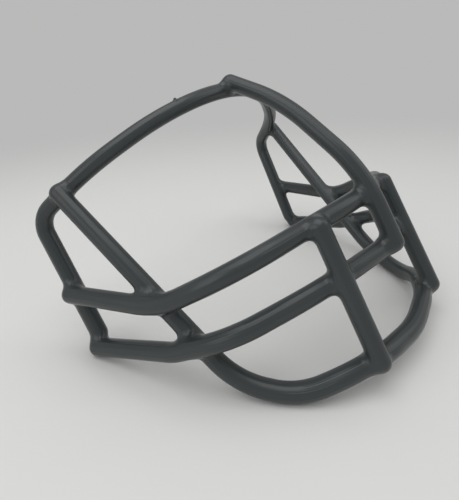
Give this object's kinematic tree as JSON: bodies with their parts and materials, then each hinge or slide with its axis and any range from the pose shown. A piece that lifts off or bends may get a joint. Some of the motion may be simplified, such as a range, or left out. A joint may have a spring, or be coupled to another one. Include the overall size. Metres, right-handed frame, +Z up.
{
  "type": "football face guard",
  "caption": "Bare football helmet face guard: bent steel wires lap welded into an open cage, under a thick smooth dark vinyl dip coat.",
  "frame": {"origin": "middle of the bounding box's underside, on the floor that the guard stands on", "axes": "+X to the wearer's left, -Y the way the wearer faces, +Z up; the guard is its own mirror image in the plane x = 0"},
  "size_m": [0.2254, 0.1716, 0.1418],
  "materials": {
    "steel_wire": "drawn carbon steel, dull",
    "weld_metal": "as welded, dull",
    "vinyl_coat": "dipped vinyl, smooth satin"
  },
  "bodies": {
    "root": {"wire_frame": "steel_wire", "wire_jaw": "steel_wire", "wire_upper_bar": "steel_wire", "wire_lower_bar": "steel_wire", "wire_nose": "steel_wire", "wire_vertical_left": "steel_wire", "wire_vertical_right": "steel_wire", "weld_frame_jaw_left": "weld_metal", "weld_frame_jaw_right": "weld_metal", "weld_frame_lower_bar_left": "weld_metal", "weld_frame_lower_bar_right": "weld_metal", "weld_frame_nose": "weld_metal", "weld_frame_upper_bar_left": "weld_metal", "weld_frame_upper_bar_right": "weld_metal", "weld_jaw_lower_bar_left": "weld_metal", "weld_jaw_lower_bar_right": "weld_metal", "weld_jaw_upper_bar_left": "weld_metal", "weld_jaw_upper_bar_right": "weld_metal", "weld_jaw_vertical_left": "weld_metal", "weld_jaw_vertical_right": "weld_metal", "weld_lower_bar_nose": "weld_metal", "weld_lower_bar_vertical_left": "weld_metal", "weld_lower_bar_vertical_right": "weld_metal", "weld_upper_bar_nose": "weld_metal", "weld_upper_bar_vertical_left": "weld_metal", "weld_upper_bar_vertical_right": "weld_metal", "coat_frame": "vinyl_coat", "coat_jaw": "vinyl_coat", "coat_upper_bar": "vinyl_coat", "coat_lower_bar": "vinyl_coat", "coat_nose": "vinyl_coat", "coat_vertical_left": "vinyl_coat", "coat_vertical_right": "vinyl_coat"}
  },
  "joints": []
}
